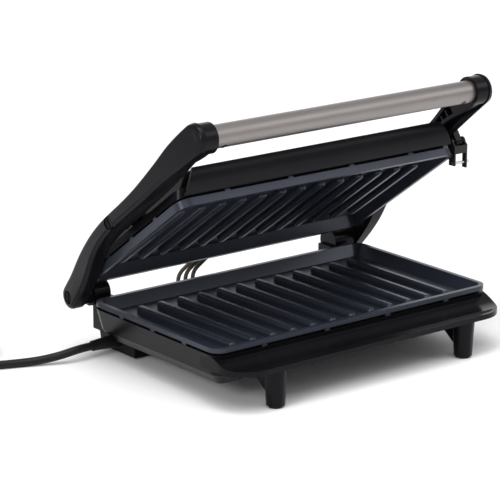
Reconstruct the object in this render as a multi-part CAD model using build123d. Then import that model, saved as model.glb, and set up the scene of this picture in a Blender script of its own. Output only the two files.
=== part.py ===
"""Panini press with a floating ribbed upper plate, two side arms and a bar handle.

Millimetres, +Z up, front towards -Y. The origin is on the worktop under the middle of
the lower plate. The lid and its arms are drawn closed and then swung open about the hinge.
"""

import os
from math import cos, degrees, hypot, pi, radians, sin, tan

from build123d import *

# Cooking plates
plate_width = 230.0
lower_plate_depth = 135.0
upper_plate_depth = 127.0
plate_corner = 9.0
rim_width = 3.0
rim_top = 40.0
lower_rim_height = 3.0
upper_rim_height = 5.2
rim_overhang = 2.5
tray_depth = 7.4
tray_draft = 5.0
plate_floor = 2.4
pan_draft = 3.0
rib_width = 5.6
rib_height = 4.0
rib_round = 1.9
rib_pitch = 16.4
lower_rib_count = 12
upper_rib_count = 13
lower_rib_rear_margin = 19.0
lower_rib_front_margin = 14.0
upper_rib_rear_margin = 20.0
upper_rib_front_margin = 23.0
spacer_lug_length = 4.0
spacer_lug_width = 1.8
long_side_shares = 4.5
short_side_shares = 4.0
plate_boss_radius = 4.5
plate_boss_inset_x = 30.0
plate_boss_inset_y = 27.0

# Base housing
rim_gap = 1.8
wall = 2.5
housing_floor = 2.5
shoulder_drop = 14.0
shoulder_inset = 3.0
housing_bottom = 13.0
bottom_inset = 11.0
floor_boss_radius = 5.0
reflector_height = 20.0
reflector_thickness = 0.6
reflector_inset = 20.0

# Drip apron along the front
apron_reach = 22.0
apron_inset = 0.5
apron_corner = 22.0
apron_bottom = 25.3
apron_lip_top = 28.8
apron_lip = 2.2
apron_lip_height = 1.9
apron_back_drop = 1.6
apron_sweep_back = 12.0
apron_sweep_front = 9.5
apron_overlap = 17.0

# Feet
foot_pad = 1.5
front_foot_inset = 35.6
front_foot_setback = 8.1
front_foot_bottom_radius = 6.1
front_foot_top_radius = 7.5
front_foot_pad_radius = 4.6
gusset_width = 3.0
gusset_run = 32.0
gusset_drop = 23.0
rear_foot_inset = 19.0
rear_foot_width = 26.0
rear_foot_front = 46.0
rear_foot_rear = 83.5
rear_foot_beak = 86.3
rear_foot_beak_height = 13.7
rear_foot_shoulder = 78.0
rear_foot_top = 23.5
rear_pad_inset = 5.0

# Hinge between the base and the arms
hinge_y = 79.0
hinge_z = 41.0
barrel_radius = 8.5
barrel_inset = 18.0
barrel_length = 12.5
side_gap = 0.5
pedestal_inset = 14.0
pedestal_width = 7.0
pedestal_front = 70.5
pedestal_rear = 86.0
pedestal_top = 38.5
hinge_screw_radius = 3.0
running_clearance = 0.05
fit_clearance = 0.1
cut_through = 4.0

# Lid at rest: the photographed opening and where the closed lid stands
open_angle = 35.5
closed_rim_gap = 3.2
upper_plate_setback = 1.0

# Side arms: distance from the hinge line and height above it, closed, with half the depth of
# the outer face and how much lower the inside reaches
arm_stations = [
    (14.5, 3.7, 7.9, 0.0),
    (28.5, 8.6, 7.6, 0.0),
    (46.5, 15.5, 5.9, 0.4),
    (67.5, 20.0, 4.9, 1.5),
    (92.5, 21.8, 4.4, 3.0),
    (117.5, 23.4, 5.0, 3.6),
    (147.5, 27.9, 6.2, 5.6),
]
tube_reach = 180.7
tube_rise = 29.6
head_radius = 10.6
face_head_radius = 7.4
arm_crown_radius = 780.0
arm_crown_setback = 106.7
pocket_start = 106.0
pocket_end = 156.0
hub_radius = 8.2
arm_inset = 5.0
arm_flange_depth = 7.0
arm_depth = 12.0
arm_edge_round = 2.6
arm_wall = 2.4
arm_skin = 4.0
arm_step_depth = 1.2
arm_rib_width = 1.4
arm_rib_set_back = 1.0
arm_rib_reach = [112.0, 128.0, 137.0, 143.0, 149.0]
flange_start = 70.0
recess_radius = 4.5
recess_depth = 3.0
screw_head_radius = 4.0
screw_head_height = 2.2

# Bar handle
tube_radius = 7.4
tube_wall = 1.2
collar_wall = 2.4
collar_reach = 3.0
socket_depth = 11.0
head_wall = 3.0
peg_length = 14.0
handle_screw_inset = 8.0
handle_screw_radius = 1.5
handle_screw_head_radius = 2.0
handle_screw_length = 7.0

# Lid housing, closed heights measured from the upper rim
lid_gap = 1.5
lid_band_top = 12.2
lid_band_inset = 1.5
lid_band_roof = 2.0
lid_dome_clearance = 2.5
lid_dome_lean = 5.0
lid_top = 22.5
lid_rear_rise = 13.0
lid_front_lean = 7.0
lid_roof = 2.5
lid_corner = 9.0
pivot_along = 66.3
pivot_height = 18.4
pivot_screw_radius = 2.5
pivot_boss_radius = 5.5
pivot_boss_depth = 10.0
upper_boss_length = 6.2

# Front fascia panel of the lid
fascia_thickness = 2.2
fascia_bottom_reach = 1.6
fascia_middle_reach = 7.2
fascia_top_reach = 9.0
fascia_middle_height = 13.2
fascia_top_height = 21.5
fascia_bottom_inset = 3.4
fascia_top_inset = 12.0

# Indicator lenses on top of the lid
lens_radius = 3.6
lens_flange = 1.0
lens_spacing = 20.0
lens_from_front = 26.0
lens_stem = 5.0
lens_stem_wall = 1.0
lens_dome = 1.2
lens_dome_round = 0.9

# Heating and switching parts
element_radius = 2.6
element_bend = 18.0
element_inset_x = 30.0
element_inset_y = 36.0
element_tail_x = 22.0
element_tail = 16.0
thermostat_radius = 8.0
thermostat_height = 6.5
thermostat_x = 52.0
fuse_radius = 2.0
fuse_length = 24.0
fuse_y = 12.0
terminal_length = 34.0
terminal_width = 14.0
terminal_height = 4.2
terminal_x = -45.0
terminal_setback = 29.5
plate_screw_radius = 1.5
plate_screw_head_radius = 2.9
plate_screw_head = 1.8
plate_screw_bite = 7.0

# Swing latch at the right arm, sizes along the hanging legs and forward from their pivot
latch_setback = 4.5
latch_height = 9.6
latch_lug_rise = 8.7
latch_lug_width = 5.0
latch_lug_inset = 3.0
latch_lug_half = 3.4
latch_pin_radius = 1.5
latch_leg_clearance = 3.0
latch_leg_gap = 11.6
latch_leg_thickness = 1.2
latch_ear_radius = 2.8
latch_front = 4.8
latch_web_start = 2.0
latch_web_end = 7.5
latch_outer_leg_width = 3.6
latch_outer_leg_length = 18.0
latch_inner_leg_width = 5.6
latch_inner_leg_length = 15.6
latch_bar_radius = 1.0
latch_bar_along = 14.2
latch_bar_forward = 2.9
latch_bar_overhang = 2.6

# Link wires between the base and the lid
wire_radius = 1.4
wire_spacing = 6.2
wire_base_x = -33.8
wire_lid_x = -12.0
wire_count = 3
wire_base_z = 26.0
wire_lid_height = 9.4
wire_bow = 13.5
wire_lid_bow = 6.0
wire_low_bend = (1.6, 6.0, 11.3)
wire_high_bend = (13.6, 7.0, 18.2)
grommet_length = 22.0
grommet_height = 4.4
grommet_flange = 1.2
grommet_lip = 0.9

# Power cord, X places counted from the tip of the strain relief
cord_radius = 2.75
relief_y = 66.0
relief_z = 9.0
relief_length = 20.0
relief_root_radius = 4.6
relief_tip_radius = 3.5
relief_seat = 6.0
cord_lift = 1.6
cord_points = [
    (-7.5, 66.0, 9.0),
    (-15.5, 67.4, 7.7),
    (-23.0, 70.2, 5.8),
    (-31.0, 74.2, 4.1),
    (-39.5, 78.4, 3.0),
    (-48.5, 82.2, 2.75),
    (-57.5, 85.5, 2.75),
    (-66.5, 88.9, 3.2),
]
coil_heading = 162.5
coil_start = (-90.0, 97.0)
coil_approach = 9.5
coil_tail = 22.0
coil_turns = 4
coil_outer_radius = 38.0
coil_pitch = 6.1
coil_climb = 0.5
coil_step = 0.002
gap_dots_per_turn = 50
coil_tie_turn = 0.5
bend_share = 0.45
tie_width = 6.0
tie_thickness = 1.2
tie_clearance = 0.3

# Plug
plug_width = 34.0
plug_body_length = 20.0
plug_shoulder = 11.0
plug_neck = 15.0
plug_neck_radius = 4.6
plug_neck_root_radius = 6.2
plug_round = 3.0
plug_corner = 7.0
plug_pin_radius = 2.4
plug_pin_spacing = 19.0
plug_pin_length = 19.0
plug_pin_seat = 9.0

# How a cylinder, cone or box stands on, or hangs from, the point it is placed at
standing = (Align.CENTER, Align.CENTER, Align.MIN)
hanging = (Align.CENTER, Align.CENTER, Align.MAX)

# Places that follow from the sizes above
inner_floor = housing_bottom + housing_floor
half_width = plate_width / 2
housing_top = rim_top - lower_rim_height - rim_gap
plate_front = -lower_plate_depth / 2
plate_rear = lower_plate_depth / 2
terminal_y = plate_rear - terminal_setback
lid_rear = plate_rear - upper_plate_setback
lid_rim = rim_top + closed_rim_gap
lid_edge = upper_rim_height + lid_gap
apron_front = plate_front - apron_reach
hinge_axis = Axis((0, hinge_y, hinge_z), (1, 0, 0))
apron_half_width = half_width - apron_inset
front_foot_x = half_width - front_foot_inset
rear_foot_outer = half_width - rear_foot_inset
rear_foot_inner = rear_foot_outer - rear_foot_width
barrel_inner = half_width - barrel_inset
pedestal_outer = half_width - pedestal_inset
pedestal_inner = pedestal_outer - pedestal_width
arm_inner = half_width - arm_inset
arm_step = arm_inner + arm_flange_depth
arm_outer = arm_step + arm_depth
collar_inner = arm_inner - collar_reach
lid_dome_side = arm_inner - lid_dome_clearance
lid_dome_top_side = lid_dome_side - lid_dome_lean
fascia_bottom_half = half_width - fascia_bottom_inset
fascia_top_half = half_width - fascia_top_inset
arm_crown_reach = tube_reach - arm_crown_setback
tube_y = hinge_y - tube_reach
tube_z = hinge_z + tube_rise
tube_end = collar_inner + socket_depth
collar_radius = tube_radius + running_clearance + collar_wall
hinge_screw_tip = barrel_inner + wall
pivot_y = lid_rear - pivot_along
pivot_z = lid_rim + pivot_height
lens_places = (-lens_spacing / 2, lens_spacing / 2)
lens_y = lid_rear - upper_plate_depth + lens_from_front
latch_y = lid_rear - upper_plate_depth + latch_setback
latch_z = lid_rim + latch_height
latch_lug_inner = arm_step + latch_lug_inset
latch_leg_inner = latch_lug_inner - latch_leg_clearance
latch_end = latch_leg_inner + latch_leg_gap
grommet_top = wire_base_z + grommet_height / 2 + grommet_lip
base_grommet_y = plate_rear - shoulder_inset * (housing_top - grommet_top) / shoulder_drop
relief_tip = -rear_foot_outer - relief_length
coil_direction = radians(coil_heading)
coil_ahead = Vector(cos(coil_direction), sin(coil_direction), 0)
coil_height = cord_radius + cord_lift
coil_centre = Vector(
    relief_tip + coil_start[0] + coil_outer_radius * sin(coil_direction),
    coil_start[1] - coil_outer_radius * cos(coil_direction),
    0,
)


def slab(width, depth, corner, z, y=0.0):
    """A rounded rectangle lying at height z."""
    return Pos(0, y, z) * RectangleRounded(width, depth, corner)


def skin(sections):
    """A straight-sided solid through flat sections."""
    return loft(sections, ruled=True)


def mirrored(shape):
    """The same piece on the left side."""
    return mirror(shape, about=Plane.YZ)


def across(radius, inner, outer, y, z):
    """A round bar along X from inner to outer."""
    middle = (inner + outer) / 2
    return Pos(middle, y, z) * Rot(0, 90, 0) * Cylinder(radius, outer - inner)


def side_profile(points, inner, outer):
    """A polygon in the YZ plane made solid between two X places."""
    face = make_face(Polyline([(0, y, z) for y, z in points], close=True))
    return Pos(inner, 0, 0) * extrude(face, outer - inner, dir=(1, 0, 0))


def opened(shape):
    """Swing a closed piece of the lid or arms up to the resting angle."""
    return shape.rotate(hinge_axis, -open_angle)


def plate_sizes(depth, level):
    """Outer sizes of a plate's pan, level 0 under the rim and 1 at its floor."""
    shrink = 2 * (rim_overhang + pan_draft * level)
    return plate_width - shrink, depth - shrink, plate_corner - rim_overhang - pan_draft * level / 2


def boss_places(depth):
    """Centres of the four bosses under a plate."""
    x = half_width - plate_boss_inset_x
    y = depth / 2 - plate_boss_inset_y
    return [(side * x, end * y) for side in (-1, 1) for end in (-1, 1)]


def rib(x, rear, front, height):
    """One raised cooking rib with rounded ends and a rounded crest."""
    length = rear - front
    bar = extrude(SlotOverall(length, rib_width, rotation=90), height)
    bar = fillet(bar.faces().sort_by(Axis.Z)[-1].edges(), rib_round)
    return Pos(x, (rear + front) / 2, 0) * bar


def ribbed_plate(depth, rim_height, rib_count, rear_margin, front_margin, boss_length, lug_height):
    """A cast plate facing up, with its rim's top edge at height 0."""
    inner_width = plate_width - 2 * rim_width
    inner_depth = depth - 2 * rim_width
    inner_corner = plate_corner - rim_width
    underside = -tray_depth - plate_floor
    rim = extrude(slab(plate_width, depth, plate_corner, -rim_height), rim_height)
    pan = skin([
        slab(*plate_sizes(depth, 0), -rim_height),
        slab(*plate_sizes(depth, 1), underside),
    ])
    tray = skin([
        slab(inner_width, inner_depth, inner_corner, 0),
        slab(
            inner_width - 2 * tray_draft, inner_depth - 2 * tray_draft, inner_corner - tray_draft / 2,
            -tray_depth,
        ),
    ])
    plate = rim + pan - tray
    first = -(rib_count - 1) / 2 * rib_pitch
    rear = depth / 2 - rear_margin
    front = -depth / 2 + front_margin
    for number in range(rib_count):
        plate += Pos(0, 0, -tray_depth) * rib(first + number * rib_pitch, rear, front, rib_height)
    for x, y in boss_places(depth):
        boss = Cylinder(plate_boss_radius, boss_length, align=hanging)
        plate += Pos(x, y, underside) * boss
        hole_depth = boss_length + plate_floor / 2
        hole = Cylinder(plate_screw_radius + fit_clearance, hole_depth, align=standing)
        plate -= Pos(x, y, underside - boss_length) * hole
    for x, y, along_x in lug_places(depth):
        sizes = (spacer_lug_length, spacer_lug_width)
        length, width = sizes if along_x else sizes[::-1]
        lug = Box(length, width, lug_height, align=hanging)
        plate += Pos(x, y, -rim_height) * lug
    return plate


def lug_places(depth):
    """Where the spacer lugs stand under a rim: four along the long sides, three along the short ones."""
    inset = wall / 2
    places = []
    for end in (-1, 1):
        for step in (-1.5, -0.5, 0.5, 1.5):
            places.append((step * plate_width / long_side_shares, end * (depth / 2 - inset), True))
    for side in (-1, 1):
        for step in (-1, 0, 1):
            places.append((side * (half_width - inset), step * depth / short_side_shares, False))
    return places


def heating_element(depth):
    """A sheathed heater bent to a hairpin, its axis at height 0."""
    x = half_width - element_inset_x
    y = depth / 2 - element_inset_y
    path = FilletPolyline(
        [(-element_tail_x, y + element_tail, 0), (-element_tail_x, y, 0), (-x, y, 0), (-x, -y, 0),
         (x, -y, 0), (x, y, 0), (element_tail_x, y, 0), (element_tail_x, y + element_tail, 0)],
        radius=[element_bend / 2, element_bend, element_bend, element_bend, element_bend, element_bend / 2],
    )
    start = Plane(origin=path @ 0, z_dir=path % 0)
    return sweep(start * Circle(element_radius), path=path)


def reflector(depth):
    """A thin sheet between plate and housing, its underside at height 0."""
    sheet = extrude(
        slab(plate_width - 2 * reflector_inset, depth - 2 * reflector_inset, plate_corner / 2, 0),
        reflector_thickness,
    )
    for x, y in boss_places(depth):
        hole = Cylinder(plate_screw_radius + fit_clearance, cut_through * reflector_thickness)
        sheet -= Pos(x, y, 0) * hole
    return sheet


def plate_screw(length):
    """A pan-head screw pointing up, the head's seat at height 0."""
    shank = Cylinder(plate_screw_radius, length, align=standing)
    head = Cylinder(plate_screw_head_radius, plate_screw_head, align=hanging)
    return shank + head


def housing_section(inset, height, inside):
    """A level cut of the base housing, the outside or the inside of its wall."""
    cut = inset + (wall if inside else 0.0)
    corner = plate_corner - cut / 2
    return slab(plate_width - 2 * cut, lower_plate_depth - 2 * cut, corner, height)


def drip_apron():
    """The dished ledge that catches drips in front of the lower plate."""
    front = apron_front
    back = plate_front + apron_overlap
    depth = back - front
    outline = Pos(0, (back + front) / 2, apron_bottom) * Rectangle(2 * apron_half_width, depth)
    outline = fillet(outline.vertices().sort_by(Axis.Y)[:2], apron_corner)
    body = extrude(outline, housing_top - apron_bottom)
    sweep_low = front + apron_sweep_front
    sweep_high = plate_front + apron_sweep_back
    top_line = Spline(
        [(0, sweep_low, apron_lip_top), (0, sweep_high, housing_top)], tangents=[(0, 1, 0), (0, 1, 0)]
    )
    outside = Polyline([
        (0, sweep_high, housing_top), (0, back, housing_top), (0, back, apron_bottom),
        (0, front, apron_bottom), (0, front, apron_lip_top), (0, sweep_low, apron_lip_top),
    ])
    side = make_face(Wire([*top_line.edges(), *outside.edges()]))
    body &= Pos(-plate_width, 0, 0) * extrude(side, 2 * plate_width, dir=(1, 0, 0))
    inner = offset(outline.face(), -apron_lip)
    dish = extrude(inner, 2 * shoulder_drop)
    floor = side_profile(
        [(front, apron_lip_top - apron_lip_height), (plate_front, housing_top - apron_back_drop),
         (back, housing_top - apron_back_drop), (back, 2 * rim_top), (front, 2 * rim_top)],
        -plate_width, plate_width,
    )
    return body - (dish & floor)


def front_foot():
    """The right front leg with its gusset."""
    y = apron_front + front_foot_setback
    height = apron_bottom - foot_pad + wall / 2
    leg = Pos(front_foot_x, y, foot_pad) * Cone(
        front_foot_bottom_radius, front_foot_top_radius, height, align=standing
    )
    gusset = side_profile(
        [(y, apron_bottom - gusset_drop), (y + gusset_run, apron_bottom),
         (y + gusset_run, apron_bottom + wall / 2), (y, apron_bottom + wall / 2)],
        front_foot_x - gusset_width / 2, front_foot_x + gusset_width / 2,
    )
    return leg + gusset


def rear_foot():
    """The right rear foot block with the pedestal and barrel of the hinge."""
    block = side_profile(
        [(rear_foot_front, foot_pad), (rear_foot_rear, foot_pad), (rear_foot_beak, rear_foot_beak_height),
         (rear_foot_shoulder, rear_foot_top), (rear_foot_front, rear_foot_top)],
        rear_foot_inner, rear_foot_outer,
    )
    block -= side_profile(
        [(rear_foot_front + wall, foot_pad + wall), (rear_foot_rear - wall, foot_pad + wall),
         (rear_foot_beak - wall, rear_foot_beak_height), (rear_foot_shoulder - wall, rear_foot_top - wall),
         (rear_foot_front + wall, rear_foot_top - wall)],
        rear_foot_inner, rear_foot_outer - wall,
    )
    pedestal = side_profile(
        [(pedestal_front, rear_foot_beak_height), (pedestal_rear, rear_foot_beak_height),
         (pedestal_rear, pedestal_top), (pedestal_front, pedestal_top)],
        pedestal_inner, pedestal_outer,
    )
    barrel = across(barrel_radius, barrel_inner, barrel_inner + barrel_length, hinge_y, hinge_z)
    return block + pedestal + barrel


def base_housing():
    """The lower housing: tub, apron, feet and hinge barrels in one moulding."""
    shoulder = housing_top - shoulder_drop
    outside = skin([housing_section(0, housing_top, False), housing_section(shoulder_inset, shoulder, False)])
    outside += skin([
        housing_section(shoulder_inset, shoulder, False),
        housing_section(bottom_inset, housing_bottom, False),
    ])
    hollow = skin([housing_section(0, housing_top, True), housing_section(shoulder_inset, shoulder, True)])
    hollow += skin([
        housing_section(shoulder_inset, shoulder, True), housing_section(bottom_inset, inner_floor, True),
    ])
    foot = front_foot()
    heel = rear_foot()
    shell = outside + drip_apron() + foot + mirrored(foot) + heel + mirrored(heel) - hollow
    for x, y in boss_places(lower_plate_depth):
        boss = Cylinder(floor_boss_radius, reflector_height - inner_floor, align=standing)
        shell += Pos(x, y, inner_floor) * boss
        shell -= Pos(x, y, housing_bottom) * Cylinder(plate_screw_radius + fit_clearance, rim_top)
        head_room = Cylinder(
            plate_screw_head_radius + fit_clearance, plate_screw_head + fit_clearance, align=standing
        )
        shell -= Pos(x, y, housing_bottom) * head_room
    bore = across(
        hinge_screw_radius + running_clearance, hinge_screw_tip - side_gap, arm_inner, hinge_y, hinge_z
    )
    shell -= bore + mirrored(bore)
    shell -= mirrored(across(
        relief_root_radius + fit_clearance, rear_foot_outer - relief_seat, rear_foot_outer, relief_y, relief_z
    ))
    slot = Box(grommet_length + 2 * fit_clearance, cut_through * wall, grommet_height + 2 * fit_clearance)
    return shell - Pos(wire_middle(wire_base_x), base_rear_wall(wire_base_z), wire_base_z) * slot


def base_rear_wall(z):
    """Outer face of the base's rear wall at a height above the shoulder."""
    return plate_rear - shoulder_inset * (housing_top - z) / shoulder_drop


def arm_face(inset, head, flared):
    """The arm's closed outline in the YZ plane from hinge hub to handle head, drawn in by an inset."""
    centres = [(hinge_y, hinge_z)]
    above = [hub_radius - inset]
    below = [hub_radius - inset]
    for reach, rise, half, flare in arm_stations:
        centres.append((hinge_y - reach, hinge_z + rise))
        above.append(half - inset)
        below.append(half + flare - inset if flared else half - inset)
    centres.append((tube_y, tube_z))
    above.append(head - inset)
    below.append(head - inset)
    upper = []
    lower = []
    headings = []
    for number, (y, z) in enumerate(centres):
        behind = centres[max(number - 1, 0)]
        ahead = centres[min(number + 1, len(centres) - 1)]
        span = hypot(ahead[0] - behind[0], ahead[1] - behind[1])
        heading = Vector(0, (ahead[0] - behind[0]) / span, (ahead[1] - behind[1]) / span)
        up = Vector(0, heading.Z, -heading.Y)
        headings.append(heading)
        upper.append(Vector(0, y, z) + up * above[number])
        lower.append(Vector(0, y, z) - up * below[number])
    hub_back = Vector(0, *centres[0]) - headings[0] * above[0]
    head_front = Vector(0, *centres[-1]) + headings[-1] * above[-1]
    edges = [
        *Spline(upper, tangents=[headings[0], headings[-1]]).edges(),
        *ThreePointArc(upper[-1], head_front, lower[-1]).edges(),
        *Spline(lower[::-1], tangents=[-headings[-1], -headings[0]]).edges(),
        *ThreePointArc(lower[0], hub_back, upper[0]).edges(),
    ]
    return make_face(Wire(edges))


def arm_slice(inset, inner, outer, start, end):
    """The arm's outline made solid between two X places, kept between two distances from the hinge."""
    solid = Pos(inner, 0, 0) * extrude(arm_face(inset, head_radius, False), outer - inner, dir=(1, 0, 0))
    window = Pos((inner + outer) / 2, hinge_y - (start + end) / 2, hinge_z) * Box(
        plate_width, end - start, plate_width
    )
    return solid & window


def arm_crown(inset):
    """The great upright drum whose side is the arm's bowed outer face, drawn in by an inset."""
    drum = Cylinder(arm_crown_radius - inset, 2 * plate_width)
    return Pos(arm_outer - arm_crown_radius, hinge_y - arm_crown_reach, hinge_z) * drum


def arm_side(y):
    """X place of the arm's bowed outer face at a closed Y place."""
    aside = y - hinge_y + arm_crown_reach
    return arm_outer - arm_crown_radius + (arm_crown_radius ** 2 - aside ** 2) ** 0.5


def side_arm(with_latch):
    """The right arm, closed: a channel open on the inside, with hinge hub, pivot seat and handle head."""
    far = tube_reach + 2 * head_radius
    shell = skin([
        Pos(arm_step, 0, 0) * arm_face(0, head_radius, True),
        Pos(arm_outer, 0, 0) * arm_face(0, face_head_radius, False),
    ]) & arm_crown(0)
    shell = fillet(shell.faces().sort_by(Axis.X)[-1].edges(), arm_edge_round)
    flange = arm_slice(arm_step_depth, arm_inner, arm_step, flange_start, far)
    hub = across(hub_radius - arm_step_depth, arm_inner, arm_step, hinge_y, hinge_z)
    collar = across(collar_radius, collar_inner, arm_step, tube_y, tube_z)
    arm = shell + flange + hub + collar
    pocket = arm_slice(arm_step_depth + arm_wall, arm_inner, arm_outer, pocket_start, pocket_end)
    pocket &= arm_crown(arm_skin)
    for reach in arm_rib_reach:
        pocket -= Pos(arm_outer + arm_rib_set_back, hinge_y - reach, hinge_z) * Box(
            2 * (arm_outer - arm_inner), arm_rib_width, plate_width
        )
    arm -= pocket
    arm -= across(tube_radius + running_clearance, collar_inner, tube_end + side_gap, tube_y, tube_z)
    arm += handle_peg()
    for y, z, radius in ((hinge_y, hinge_z, hinge_screw_radius), (pivot_y, pivot_z, pivot_screw_radius)):
        arm -= across(radius + running_clearance, arm_inner, arm_outer, y, z)
        arm -= across(recess_radius, arm_side(y) - recess_depth, arm_outer, y, z)
    if with_latch:
        arm += latch_lug()
    return arm


def handle_peg():
    """The peg inside the tube's right end that the handle screw bites into."""
    radius = tube_radius - tube_wall - running_clearance
    peg = across(radius, collar_inner - peg_length, tube_end + head_wall, tube_y, tube_z)
    hole = Pos(collar_inner - handle_screw_inset, tube_y, tube_z + fit_clearance) * Cylinder(
        handle_screw_radius + fit_clearance, handle_screw_length + tube_wall, align=hanging
    )
    return peg - Pos(0, 0, handle_screw_length - radius) * hole


def handle_tube():
    """The bar handle, closed, with a screw hole near each end of its underside."""
    tube = across(tube_radius, -tube_end, tube_end, tube_y, tube_z)
    tube -= across(tube_radius - tube_wall, -tube_end, tube_end, tube_y, tube_z)
    for side in (-1, 1):
        hole = Cylinder(handle_screw_head_radius + fit_clearance, tube_radius, align=hanging)
        tube -= Pos(side * (collar_inner - handle_screw_inset), tube_y, tube_z) * hole
    return tube


def handle_screws():
    """One screw up through each end of the tube into the arm's peg, closed."""
    seat = tube_z - tube_radius + tube_wall + running_clearance
    screws = []
    for side in (-1, 1):
        shank = Cylinder(handle_screw_radius, handle_screw_length, align=standing)
        head = Cylinder(handle_screw_head_radius, tube_wall, align=hanging)
        screws.append(Pos(side * (collar_inner - handle_screw_inset), tube_y, seat) * (shank + head))
    return screws


def shoulder_screws(radius, tip, y, z):
    """A pair of slotted shoulder screws whose heads sit in the arms' outer recesses."""
    seat = arm_side(y) - recess_depth + running_clearance
    screw = across(radius, tip, seat, y, z) + across(screw_head_radius, seat, seat + screw_head_height, y, z)
    screw -= Pos(seat + screw_head_height, y, z) * Box(screw_head_height, tube_wall, 2 * screw_head_radius)
    return [screw, mirrored(screw)]


def lid_slab(half_width, rear, front, corner, height):
    """A level cut of the lid, rear and front counted from the upper plate's rear edge."""
    return slab(2 * half_width, front - rear, corner, lid_rim + height, lid_rear - (front + rear) / 2)


def lid_front(height):
    """Front face of the lid shell at a height above the rim, behind the fascia."""
    base = upper_plate_depth + fascia_bottom_reach - fascia_thickness - fit_clearance
    return base + lid_front_lean * (height - lid_edge) / (lid_top - lid_edge)


def lid_body(draw_in, middle, top):
    """The lid's band and the narrower top above it as one solid, drawn in on all sides."""
    half = half_width - draw_in
    corner = lid_corner - draw_in
    band = skin([
        lid_slab(half, draw_in, lid_front(lid_edge) - draw_in, corner, lid_edge),
        lid_slab(half - lid_band_inset, draw_in, lid_front(middle) - draw_in, corner, middle),
    ])
    dome = skin([
        lid_slab(lid_dome_side - draw_in, draw_in, lid_front(middle) - draw_in, corner, middle),
        lid_slab(lid_dome_top_side - draw_in, lid_rear_rise + draw_in, lid_front(top) - draw_in, corner, top),
    ])
    return band + dome


def lid_shell():
    """The lid's moulded housing, closed: a band round the plate and a narrower top between the arms."""
    outside = lid_body(0, lid_band_top, lid_top)
    outside = fillet(outside.faces().sort_by(Axis.Z)[-1].edges(), wall)
    shell = outside - lid_body(wall, lid_band_top - lid_band_roof, lid_top - lid_roof)
    tip = arm_inner - side_gap
    boss = across(pivot_boss_radius, tip - pivot_boss_depth, tip, pivot_y, pivot_z)
    boss -= Pos(tip, pivot_y, lid_rim + lid_top - wall) * Box(
        cut_through * pivot_boss_depth, cut_through * pivot_boss_radius, 2 * lid_top, align=standing
    )
    bore = across(pivot_screw_radius + running_clearance, tip - pivot_boss_depth, tip, pivot_y, pivot_z)
    shell += boss + mirrored(boss)
    shell -= bore + mirrored(bore)
    for x in lens_places:
        hole = Cylinder(lens_radius - lens_flange + fit_clearance, cut_through * lid_roof)
        shell -= Pos(x, lens_y, lid_rim + lid_top) * hole
    slot = Box(grommet_length + 2 * fit_clearance, 2 * wall, grommet_height + 2 * fit_clearance)
    return shell - Pos(wire_middle(wire_lid_x), lid_rear - wall / 2, lid_rim + wire_lid_height) * slot


def front_fascia():
    """The bowed panel across the lid's front, closed."""
    heights = (lid_edge, fascia_middle_height, fascia_top_height)
    reaches = (fascia_bottom_reach, fascia_middle_reach, fascia_top_reach)
    outer = [(0, lid_rear - upper_plate_depth - r, lid_rim + h) for r, h in zip(reaches, heights)]
    inner = [(0, y + fascia_thickness, z) for _, y, z in outer]
    section = make_face(Wire([
        *ThreePointArc(*outer).edges(), *Line(outer[2], inner[2]).edges(),
        *ThreePointArc(*inner[::-1]).edges(), *Line(inner[0], outer[0]).edges(),
    ]))
    panel = Pos(-half_width, 0, 0) * extrude(section, plate_width, dir=(1, 0, 0))
    bottom = lid_rim + heights[0]
    top = lid_rim + heights[2]
    ends = make_face(Polyline([
        (-fascia_bottom_half, 0, bottom), (fascia_bottom_half, 0, bottom),
        (fascia_top_half, 0, top), (-fascia_top_half, 0, top),
    ], close=True))
    return panel & extrude(ends, 2 * upper_plate_depth, dir=(0, -1, 0))


def indicator_lens(x):
    """A domed lens with a hollow stem through the lid's roof, closed."""
    dome = Cylinder(lens_radius, lens_dome, align=standing)
    dome = fillet(dome.faces().sort_by(Axis.Z)[-1].edges(), lens_dome_round)
    stem = Cylinder(lens_radius - lens_flange, lens_stem, align=hanging)
    stem -= Cylinder(lens_radius - lens_flange - lens_stem_wall, lens_stem, align=hanging)
    return Pos(x, lens_y, lid_rim + lid_top) * (dome + stem)


def neon_lamp(x):
    """The glow lamp that sits in a lens's stem, closed."""
    radius = lens_radius - lens_flange - lens_stem_wall - fit_clearance
    lamp = Cylinder(radius, lens_stem, align=hanging)
    return Pos(x, lens_y, lid_rim + lid_top - fit_clearance) * lamp


def latch_lug():
    """The small lug under the arm that carries the latch's pin, closed."""
    end = latch_lug_inner + latch_lug_width
    top = latch_z + latch_lug_rise
    lug = side_profile(
        [(latch_y - latch_lug_half, top), (latch_y - latch_lug_half, latch_z),
         (latch_y + latch_lug_half, latch_z), (latch_y + latch_lug_half, top)],
        latch_lug_inner, end,
    )
    lug += across(latch_lug_half, latch_lug_inner, end, latch_y, latch_z)
    return lug - across(latch_pin_radius + running_clearance, latch_lug_inner, end, latch_y, latch_z)


def latch_leg(x, width, length):
    """One flat leg of the latch with its ear round the pin, drawn forward along Z and hanging along -Y."""
    outline = make_face(Polyline([
        (0, 0, -latch_ear_radius), (0, -latch_web_start, -latch_ear_radius),
        (0, -latch_web_end, latch_front - width), (0, -length, latch_front - width),
        (0, -length, latch_front), (0, -latch_web_start, latch_front), (0, 0, latch_ear_radius),
    ], close=True))
    leg = Pos(x, 0, 0) * extrude(outline, latch_leg_thickness, dir=(1, 0, 0))
    return leg + across(latch_ear_radius, x, x + latch_leg_thickness, 0, 0)


def hung(shape):
    """Hang a piece of the latch plumb from the opened arm; it is drawn with its pivot at the origin."""
    lean = radians(open_angle)
    return Plane(origin=(0, latch_y, latch_z), x_dir=(1, 0, 0), z_dir=(0, -cos(lean), -sin(lean))) * shape


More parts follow.
